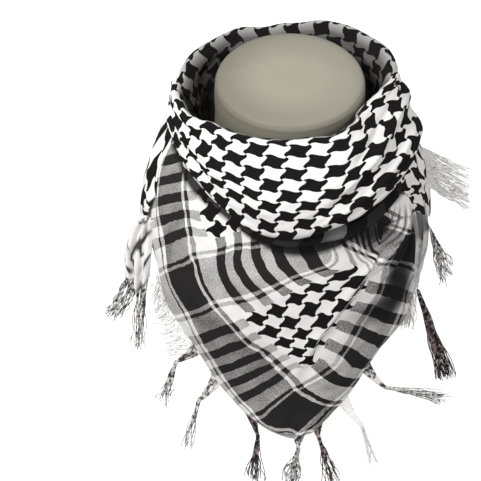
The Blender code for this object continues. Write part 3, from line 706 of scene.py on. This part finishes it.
# drop of the cowl's lower edge over the triangle, where a painted shadow on the triangle begins
cowlShadowEdge = [(-68, 56.6), (-58.5, 62.7), (-50.5, 67.1), (-39.5, 71.2), (-30, 76.1), (-22, 82.5), (-13.5, 92.4),
             (-6, 98.7), (4, 102), (16.5, 99.5), (25, 95), (35.5, 88.8), (45, 81.5), (56.5, 76.9)]
# painted shade and shadow patches on the triangle: right of the pleat, under the lip and at the lower left
bibShadePatches = [  # turn, drop, half width, half height, share taken
    (49.5, 157, 9.5, 27, 0.97), (61, 122, 8.5, 24, 0.9), (40.5, 172, 8, 14, 0.93), (45, 140, 5, 12, 0.7),
    (23.5, 86.5, 14, 12, 0.55), (37, 97, 10, 9, 0.9), (30, 176, 8, 12, 0.45), (-26, 205, 22, 32, 0.22),
]
# painted shade streaks: dark lines in the fan of folds from the right pinch, as creases rows
bibShadeStreaks = [
    (113, 91, 84, 114, -5, 0.85, 1.2, 1.2), (108, 88, 77, 112, -6, 0.85, 1.2, 1.2),
    (103, 87, 69, 109, -6, 0.8, 1.1, 1.1), (98, 86, 57, 107, -5, 0.75, 1.2, 1.2),
    (115, 97, 96, 124, -4, 0.55, 1.4, 1.4), (116, 104, 104, 136, -3, 0.5, 1.4, 1.4),
]
# painted shadow below the cowl's edge, then painted shade patches and streaks, all kept in the shade layer
bibShade = 0.04 + 0.96 * np.clip((bibDrop - tableValue(cowlShadowEdge, bibAngle, 1) - 0.5) / 4.5, 0, 1)
for turn, drop, wide, high, amount in bibShadePatches:
    far = ((bibAngle - turn) / wide) ** 2 + ((bibDrop - drop) / high) ** 2
    bibShade = bibShade * (1 - amount * np.exp(-far ** 2))
bibShade = bibShade * np.clip(1 - creases(across, bibDrop, bibShadeStreaks), 0.08, 1)
frontTriangle = makeSheet("frontTriangle", bib, bibUv, bibLook["wall"], "cloth", "front_triangle", bibShade)
print("front triangle made", meanSpan(bib))

cornerLook = {"turns": (-44.0, 6.0), "grid": (70, 30), "from": 0.78, "inset": 2.1, "wall": 1.1}
cornerCount, cornerDown = cornerLook["grid"]
cornerTurns = np.linspace(*cornerLook["turns"], cornerCount)
cornerExtra = np.clip((cornerTurns + 34) / 14, 0, 1)[:, None] * 5.5 - 1.0
cornerShare = np.linspace(cornerLook["from"], 1.0, cornerDown)
corner, cornerAngle = bibShape(cornerTurns, cornerShare, cornerLook["inset"], cornerExtra)[:2]
cornerStep = np.linspace(0, 1, cornerDown)[None, :]
cornerUv = np.stack([(1 - cornerStep) * 60 + 0 * cornerAngle, 60 + (cornerAngle + 44) * 0.1], -1)
underCorner = makeSheet("underCorner", corner, cornerUv, cornerLook["wall"], "cloth_under", "under_corner")

# band round the sides and the nape: angle, radius and drop of its rim, flare and depth of its outer wall
bandStations = [
    (-103.4, 94, 13.9, -3.5, 26), (-118, 93, 10.8, -2, 30), (-135, 90.8, 8.1, 3, 38), (-150, 88, 6.7, 6.5, 44),
    (-168.3, 81.4, 6.5, 9.5, 44), (-185.6, 83.1, 4.6, 9.5, 45.5), (-200.8, 87.5, 2.6, 7.5, 47),
    (-222.7, 90.6, 2.8, 4, 43), (-238.5, 93, 4.4, -1, 33), (-256.5, 90.4, 8.5, -3.5, 26),
]
bandLook = {"grid": (260, 74), "turns": (-93.0, -267.0), "inner": -0.4, "span": (280, 90), "wall": 1.3}


def bandShape(look):
    rows = []
    for turn in np.linspace(*look["turns"], look["grid"][0]):
        rim, drop, flare, skirt = tableRow(bandStations, turn)
        tucked = np.clip((abs(turn + 180.0) - 71.0) / 6.0, 0, 1)
        rim -= 2.4 * tucked
        drop += 1.8 * tucked
        drop -= 2.0 * math.exp(-((turn + 180) / 45) ** 2)
        wave = 1.2 * math.sin(math.radians(turn * 5.0)) + 0.8 * math.sin(math.radians(turn * 8.0 + 40.0))
        line = [(63.6, drop + 64.0), (64.2, drop + 50.0)]
        line += [(max(63.8, rim - 21.0), drop + 34.0), (rim - 13.5 + wave, drop + 18.0)]
        line += [(rim - 7.5, drop + 5.0), (rim - 3.0, drop + 0.3), (rim + 0.6, drop + 2.4)]
        line += [(rim + 1.4 + 0.4 * flare, drop + 0.4 * skirt), (rim + flare, drop + skirt)]
        rows.append([place(turn, r, d) for r, d in line])
    at = [look["inner"], -0.2, 0, 0.25, 0.44, 0.5, 0.56, 0.75, 1.0]
    return resample(np.array(rows), at, np.linspace(look["inner"], 1, look["grid"][1]))


band = bandShape(bandLook)
part, step = shares(*bandLook["grid"], bandLook["inner"])
calm = np.clip(part / 0.04, 0, 1) * np.clip((1 - part) / 0.04, 0, 1) * np.clip((1 - step) / 0.2, 0, 1)
bandCreases = [
    (20, 14, 96, 40, 4, 1.4, 4, 4), (36, 36, 130, 22, 4, -1.3, 5, 4), (90, 12, 168, 34, 3, 1.3, 4, 5),
    (150, 40, 232, 20, 4, 1.4, 5, 4), (196, 14, 262, 38, 3, -1.3, 4, 5), (60, 60, 150, 76, 4, 1.2, 6, 5),
    (160, 72, 250, 60, 4, -1.2, 6, 5),
]
along, down = part * bandLook["span"][0], step * bandLook["span"][1]
lift = creases(along, down, bandCreases) + ripple(along, down, 30.0, 0.6, 15)
band = band + outwardNormals(band) * (lift * calm)[..., None]
slant = along * 0.75
bandUv = np.stack([470 + slant - step * 95, 620 - slant - step * 95], -1)
# painted shade: the band is nearly black inside, down towards the neck, and dimmed to two thirds on its outer
# wall
bandShade = 0.02 + 0.10 * np.clip((step - 0.1) / 0.2, 0, 1) + 0.55 * np.clip((step - 0.42) / 0.14, 0, 1)
neckBand = makeSheet("neckBand", band, bandUv, bandLook["wall"], "cloth", "neck_band", bandShade)
print("neck band made", meanSpan(band))

# outer wraps over the shoulders: angle, upper drop, lower drop, lift off the band
wrapLeft = [
    (-71, 94, 117, 4.5), (-80, 68, 127, 4), (-92, 42, 131, 2.5), (-108, 30, 125, 3.5), (-118, 29, 120, 4.8),
    (-128, 34, 114, 6.8), (-138, 49, 108, 7.5), (-148, 61, 103, 7), (-160, 62, 98, 6.5), (-172, 58, 91, 6),
    (-182, 55.5, 84, 5.5), (-190, 53.5, 76, 3.5), (-198, 49, 68, 0.5), (-206, 43, 61, -0.8), (-216, 38, 56, -1),
]
wrapRight = [
    (57, 70, 92, 1.5), (70, 66.5, 116, -1), (82, 69, 132, -3), (90, 58, 133, -3), (97, 38, 133, -2.5),
    (103, 31, 130, -1), (108, 31, 126, 2), (118, 28, 120, 4.5), (128, 34, 114, 6.5), (138, 51, 109, 4.5),
    (150, 63, 103, -1.5), (160, 64, 98, -4), (182, 58, 89, -4.5), (198, 49, 72, -4.5), (214, 38, 56, -4),
]
shoulderOvals = [
    (10, 88, 83), (34, 90.5, 84), (54, 97.5, 87), (66, 101, 89), (80, 107.5, 91.5), (99, 113, 93),
    (114, 116.5, 93), (132, 118, 92),
]
wrapLook = {"grid": (180, 50), "span": (260, 60), "wall": 1.3}


def wrapShape(table, count, high):
    rows = []
    part = np.linspace(0, 1, 11)
    for turn in np.linspace(table[0][0], table[-1][0], count):
        top, low, raised = tableRow(table, turn)
        point = oval(turn + 0 * part, top + (low - top) * part, shoulderOvals)
        calm = 0.4 + 0.6 * min(1.0, abs(abs(turn) - 180.0) / 45.0)
        fade = np.sin(math.pi * np.minimum(1.0, part * 1.2 + 0.1))
        depth = 1.7 * calm * np.sin(6 * math.pi * part + 0.5) * fade
        swing = math.radians(turn)
        out = np.array([math.sin(swing), -math.cos(swing), 0.0])
        lean = min(9.0, max(0.0, raised + 4.0)) * np.exp(-(part / 0.15) ** 2)
        rows.append(point + out * (raised + 2.0 + depth - lean)[:, None])
    return resample(np.array(rows), part, np.linspace(0, 1, high))


def makeWrap(name, table, node, seed, lines, edges):
    wrap = wrapShape(table, *wrapLook["grid"])
    part, step = shares(*wrapLook["grid"])
    length, width = part * wrapLook["span"][0], step * wrapLook["span"][1]
    calm = np.clip(part / 0.06, 0, 1) * np.clip((1 - part) / 0.1, 0, 1)
    lift = creases(length, width, lines) * 0.7 + ripple(length, width, 28.0, 0.4, seed)
    wrap = wrap + outwardNormals(wrap) * (lift * calm)[..., None]
    left, right = edges
    uv = np.stack([left + length * 0.71 - width * 0.8, right - length * 0.71 - width * 0.8], -1)
    made = makeSheet(name, wrap, uv, wrapLook["wall"], "cloth", node)
    print(name, "made", meanSpan(wrap))
    return made


leftLines = [(10, 14, 120, 20, 3, 1.6, 3, 4), (30, 40, 180, 36, 3, -1.5, 4, 3), (120, 12, 240, 24, 2, 1.4, 4, 4)]
rightLines = [(14, 18, 130, 14, 3, 1.5, 4, 3), (40, 34, 190, 42, 3, -1.4, 3, 4), (130, 22, 244, 14, 2, 1.4, 4, 4)]
wrapLeftCloth = makeWrap("wrapLeftCloth", wrapLeft, "wrap_left", 21, leftLines, (300, 560))
wrapRightCloth = makeWrap("wrapRightCloth", wrapRight, "wrap_right", 22, rightLines, (330, 590))

# hanging ends: share of length, centre across, centre depth, drop, half width, turn about the upright
tailLeft = [
    (0, -117, -36.3, 116, 6, -38), (0.25, -121.5, -36, 132.2, 10.5, -34), (0.6, -125.6, -41, 151.8, 12.5, -28),
    (1, -126.5, -45, 176, 11, -24),
]
tailRight = [
    (0, 104, -38, 103, 12, 62), (0.25, 107, -36.3, 126, 12, 58), (0.6, 106, -35, 152, 12, 50),
    (1, 102, -36, 176, 9, 44),
]
tailLook = {"grid": (46, 60), "span": (50, 40), "wall": 1.1}


def tailShape(table, count, wide):
    rows = []
    for part in np.linspace(0, 1, count):
        x, y, drop, half, turn = tableRow(table, part)
        swing = math.radians(turn)
        along = np.array([math.cos(swing), math.sin(swing), 0.0])
        out = np.array([math.sin(swing), -math.cos(swing), 0.0])
        line = []
        for side in np.linspace(-1, 1, wide):
            fold = (2.0 + 1.2 * part) * math.sin(3 * math.pi * side + 0.8)
            sag = 2.0 * math.cos(math.pi * side) + 3.4 * math.sin(4.3 * side + 0.7) + 1.6 * math.sin(11.0 * side)
            sag *= part
            line.append(np.array([x, y, formHeight - drop - sag]) + along * half * side + out * fold)
        rows.append(line)
    return np.array(rows)


def makeTail(name, table, node, edges, shadeStreaks):
    tail = tailShape(table, *tailLook["grid"])
    part, step = shares(*tailLook["grid"])
    down, across = part * tailLook["span"][0], step * tailLook["span"][1]
    lift = ripple(down, across, 14.0, 0.35, 31) * part
    tail = tail + gridNormals(tail) * lift[..., None]
    uv = np.stack([edges[0] + part * 5, edges[1] - step * 9 + part * 2], -1)
    waver = ripple(down, across, 5.5, 0.7, 32)
    # painted shade: dark streaks along the folds of the end
    shade = np.clip(1 - creases(down + waver, across - waver, shadeStreaks), 0.05, 1)
    made = makeSheet(name, tail, uv, tailLook["wall"], "cloth", node, shade)
    print(name, "made", meanSpan(tail))
    return made, tail


# painted shade streaks on the hanging ends, as creases rows
leftShadeStreaks = [
    (31, 12, 8, 38, 3, 1.5, 2, 2.6), (30, 12, 43, 18, -2, 1.5, 1.2, 1.2), (20, 21, 31, 29, 0, 1.1, 1, 1.4),
    (12, 20, 24, 25, 0, 0.9, 0.9, 1.1), (48, 33, 28, 40, 3, 1.6, 1.3, 1.5), (22, 3, 28, 9, 1, 0.9, 1.1, 1.1),
    (38, 1, 45, 13, 0, 1.3, 1, 1.5), (5, 8, 0, 26, -1, 1.4, 0.8, 1),
]
rightShadeStreaks = [
    (0, 10, 46, 14, 2, 0.75, 1.6, 1.6), (2, 24, 50, 22, -2, 0.6, 1.4, 2), (10, 34, 44, 32, 2, 0.5, 1.8, 1.4),
    (0, 20, 20, 20, 0, 0.75, 22, 22),
]
endLeft = makeTail("endLeft", tailLeft, "end_left", (56, 176), leftShadeStreaks)
endRight = makeTail("endRight", tailRight, "end_right", (57, 177), rightShadeStreaks)

# threads
threadLook = {
    "points": 16,
    "wander": 2.6,
    "scatter": 2.2,
    "knotAt": 0.34,  # share of the strand down to its knot
    "lowest": (1.6, 1.2),  # least height of a tip and of the rest
    "tassel": 0.48,
    "border": 0.4,
    "endLeft": 0.46,
    "side": 0.5,
}


def edgePoints(grid, low, high, count):
    edge, before = grid[:, -1], grid[:, -3]
    at = np.linspace(low, high, count) * (len(edge) - 1)
    index = np.arange(len(edge))
    outer = np.stack([np.interp(at, index, edge[:, c]) for c in range(3)], -1)
    inner = np.stack([np.interp(at, index, before[:, c]) for c in range(3)], -1)
    away = outer - inner
    away /= np.linalg.norm(away, axis=1, keepdims=True)
    return outer + away * 0.2, away


def lineOf(start, end, count):
    share = np.linspace(0, 1, count)[:, None]
    return np.asarray(start, float) * (1 - share) + np.asarray(end, float) * share


def dropSpot(spot):
    return np.array([spot[0], spot[1], formHeight - spot[2]])


def dropLine(start, end, count):
    return lineOf(dropSpot(start), dropSpot(end), count)


def strandPaths(base, lean, tips, seed, knot=None, wander=1.0, scatter=1.0, lead=0.3):
    draw = np.random.default_rng(seed)
    t = np.linspace(0, 1, threadLook["points"])[:, None]
    paths, bulges = [], []
    for k in range(len(base)):
        tip = tips[k] + draw.normal(0, 1, 3) * threadLook["scatter"] * scatter * (1.0, 0.4, 1.0)
        tip[2] = max(tip[2], threadLook["lowest"][0])
        first = base[k] - lean[k] * 0.8
        length = np.linalg.norm(tip - first)
        sway = draw.normal(0, 1, (3, 3)) * threadLook["wander"] * wander * (1.0, 0.5, 0.7)
        turns = draw.uniform(0.6, 2.6, 3)
        if knot is None:
            bend = first + lean[k] * length * lead
            path = first * (1 - t) ** 2 + 2 * bend * t * (1 - t) + tip * t * t
            grow = t
            bulge = np.ones(len(t))
        else:
            at = threadLook["knotAt"]
            close = knot + draw.normal(0, 0.45, 3)
            share = np.clip(t / at, 0, 1)
            later = np.clip((t - at) / (1 - at), 0, 1)
            path = np.where(t < at, first * (1 - share) + close * share, close * (1 - later) + tip * later)
            path = path + np.sin(math.pi * share) * lean[k] * 1.5
            grow = later
            bulge = 1.0 + 0.8 * np.exp(-((t[:, 0] - at) / 0.07) ** 2)
        for n in range(3):
            path = path + sway[n] * np.sin(math.pi * turns[n] * t * 2) * grow * 0.5
        path[:, 2] = np.maximum(path[:, 2], threadLook["lowest"][1])
        paths.append(path)
        bulges.append(bulge)
    return paths, bulges


# turn and half width at the edge of the triangle, knot, tip, strands, spread of the tips, finish
tassels = {
    "tassel_left_upper": (-49.5, 6, (-93.5, -80, 233.3), (-103.9, -80, 274.5), 18, 9, "mixed"),
    "tassel_left_lower": (-42, 6, (-75.4, -92, 265), (-84.1, -90, 316.5), 12, 7, "mixed"),
    "tassel_tip_left": (-25, 6.5, (-25.8, -110, 288), (-28.8, -107, 337.2), 34, 14, "dark"),
    "tassel_tip": (7, 5, (7.7, -115, 297), (1.5, -113, 339.5), 30, 13, "curly"),
    "tassel_tip_right": (21, 5, (25.1, -111, 289.5), (37.5, -108, 341), 24, 9, "dark"),
    "tassel_right_lower": (34, 5, (61, -102, 283.7), (71.9, -98, 329.5), 8, 5, "pale"),
    "tassel_right_upper": (42, 5, (80.7, -90, 252.6), (128.3, -76, 274.1), 24, 9, "mixed"),
}
threadFinish = {"pale": paleThread, "mixed": mixedThread, "dark": darkThread, "curly": mixedThread}


def bibPart(turn):
    return (turn - bibStart) / (bibEnd - bibStart)


for seed, (name, (turn, half, knot, tip, count, fan, look)) in enumerate(tassels.items()):
    share, steps = bibPart(turn), bibCount - 1
    step = np.linalg.norm(np.gradient(bib[:, -1], axis=0)[int(round(share * steps))])
    reach = half / step / steps
    base, lean = edgePoints(bib, share - reach, share + reach, count)
    side = base[-1] - base[0]
    side /= np.linalg.norm(side)
    tip, knot = dropSpot(tip), dropSpot(knot)
    fall = tip - knot
    side -= fall * np.dot(side, fall) / np.dot(fall, fall)
    side *= fan / 2 / np.linalg.norm(side)
    wander = 2.2 if look == "curly" else 1.0
    paths, bulges = strandPaths(base, lean, lineOf(tip - side, tip + side, count), 40 + seed, knot, wander)
    made = makeThreads(name + "Threads", paths, threadLook["tassel"], name, threadFinish[look], bulges)

base, lean = edgePoints(bib, bibPart(-65.5), bibPart(-50.0), 96)
tips = dropLine((-116, -62, 172), (-99, -80, 226), 96)
paths = strandPaths(base, lean, tips, 60, None, 0.55, 1.1, 0.5)[0]
makeThreads("bibLeftThreads", paths, threadLook["border"], "fringe_bib_left", paleThread)


def lastRow(grid):
    return grid.transpose(1, 0, 2)


base, lean = edgePoints(lastRow(endLeft[1]), 0.02, 0.98, 56)
tips = np.concatenate([dropLine((-150, -46, 207), (-143, -50, 212), 32),
                       dropLine((-129, -58, 230), (-122, -60, 236), 24)])
paths = strandPaths(base, lean, tips, 71, None, 1.0, 1.3, 0.25)[0]
endLeftThreads = makeThreads("endLeftThreads", paths, threadLook["endLeft"], "fringe_end_left", mixedThread)
base, lean = edgePoints(lastRow(endRight[1]), 0.02, 0.98, 70)
tips = dropLine((91, -46, 216), (101, -42, 224), 70)
paths = strandPaths(base, lean, tips, 72, None, 0.7, 1.4, 0.25)[0]
endRightThreads = makeThreads("endRightThreads", paths, threadLook["side"], "fringe_end_right", paleThread)

# first and last root, first and last tip, strands, finish
sideFringe = {
    "fringe_shoulder": ((109, 4, 74), (113, -3, 108), (146.4, 2, 94), (147.5, -3, 132), 66, "pale"),
    "fringe_shoulder_low": ((115, -20.5, 136), (117.6, -25.2, 145), (135, -22, 176), (127.5, -26, 196),
                            26, "mixed"),
    "tassel_right_side": ((106.4, -37, 191), (108.6, -36, 193), (127, -44, 282), (138, -40, 280), 44, "dark"),
}
for seed, (name, (start, end, tipA, tipB, count, look)) in enumerate(sideFringe.items()):
    base, tips = dropLine(start, end, count), dropLine(tipA, tipB, count)
    lean = tips - base
    lean /= np.linalg.norm(lean, axis=1, keepdims=True)
    paths = strandPaths(base, lean, tips, 80 + seed, None, 0.9, 0.8, 0.3)[0]
    makeThreads(name + "Threads", paths, threadLook["side"], name, threadFinish[look])
print("threads made")

# camera and light
stageLook = {
    "rise": 38.0,
    "far": 3.5,
    "scale": 0.00081,  # metres a pixel at the neck
    "picture": 481,
    "neckSpot": (290, 77),  # pixel where the middle of the flat top lies
    "sensor": 36,
    "key": 50.0,
    "fill": 10.0,
    "sky": 0.62,
    "below": 0.30,
}


def setCamera(look):
    rise = math.radians(look["rise"])
    right = Vector((1, 0, 0))
    up = Vector((0, math.sin(rise), math.cos(rise)))
    back = Vector((0, -math.cos(rise), math.sin(rise)))
    focus = look["far"] / look["scale"]
    half = look["picture"] / 2
    sideways = (look["neckSpot"][0] - half) / focus * look["far"]
    upward = (half - look["neckSpot"][1]) / focus * look["far"]
    spot = Vector((0, 0, formHeight * mm)) - (right * sideways + up * upward) + back * look["far"]
    camera = bpy.data.cameras.new("camera")
    camera.sensor_width = look["sensor"]
    camera.lens = focus * look["sensor"] / look["picture"]
    obj = addObject("camera", camera)
    obj.matrix_world = Matrix.Translation(spot) @ Matrix((right, up, back)).transposed().to_4x4()
    bpy.context.scene.camera = obj


def areaLight(name, spot, aim, size, energy):
    lamp = bpy.data.lights.new(name, "AREA")
    lamp.size = size
    lamp.energy = energy
    obj = addObject(name, lamp)
    obj.location = spot
    obj.rotation_euler = (Vector(aim) - Vector(spot)).to_track_quat("-Z", "Y").to_euler()


setCamera(stageLook)
areaLight("key", (-1.3, -1.2, 2.1), (0, 0, 0.2), 0.8, stageLook["key"])
areaLight("fill", (1.5, -1.6, 1.2), (0, 0, 0.2), 1.2, stageLook["fill"])
world = bpy.data.worlds.new("sky")
world.use_nodes = True
tree = world.node_tree
aim = addNode(tree, "ShaderNodeTexCoord", None, 0)
height = addNode(tree, "ShaderNodeSeparateXYZ", None, 2, Vector=aim)
share = (height * 1.4 + 0.35).cap()
low, high = stageLook["below"], stageLook["sky"]
sky = mixColours(tree, share, (low, low, low, 1), (high, high, high, 1))
tree.links.new(sky.socket, tree.nodes["Background"].inputs[0])
tree.nodes["Background"].inputs[1].default_value = 1.0
bpy.context.scene.world = world
bpy.context.scene.view_settings.view_transform = "Standard"

bm = bmesh.new()
bmesh.ops.create_grid(bm, x_segments=1, y_segments=1, size=6.0)
floor = addObject("floor", meshFrom(bm, "floor"))
floor.location = (0, 0, -mm)
pale, tree, shader = startMaterial("paleFloor", 0.9)
shader.inputs["Base Color"].default_value = (0.5, 0.5, 0.5, 1)
shader.inputs["Emission Color"].default_value = (1, 1, 1, 1)
shader.inputs["Emission Strength"].default_value = 0.8
floor.data.materials.append(pale)
floor.visible_diffuse = False
floor.visible_glossy = False
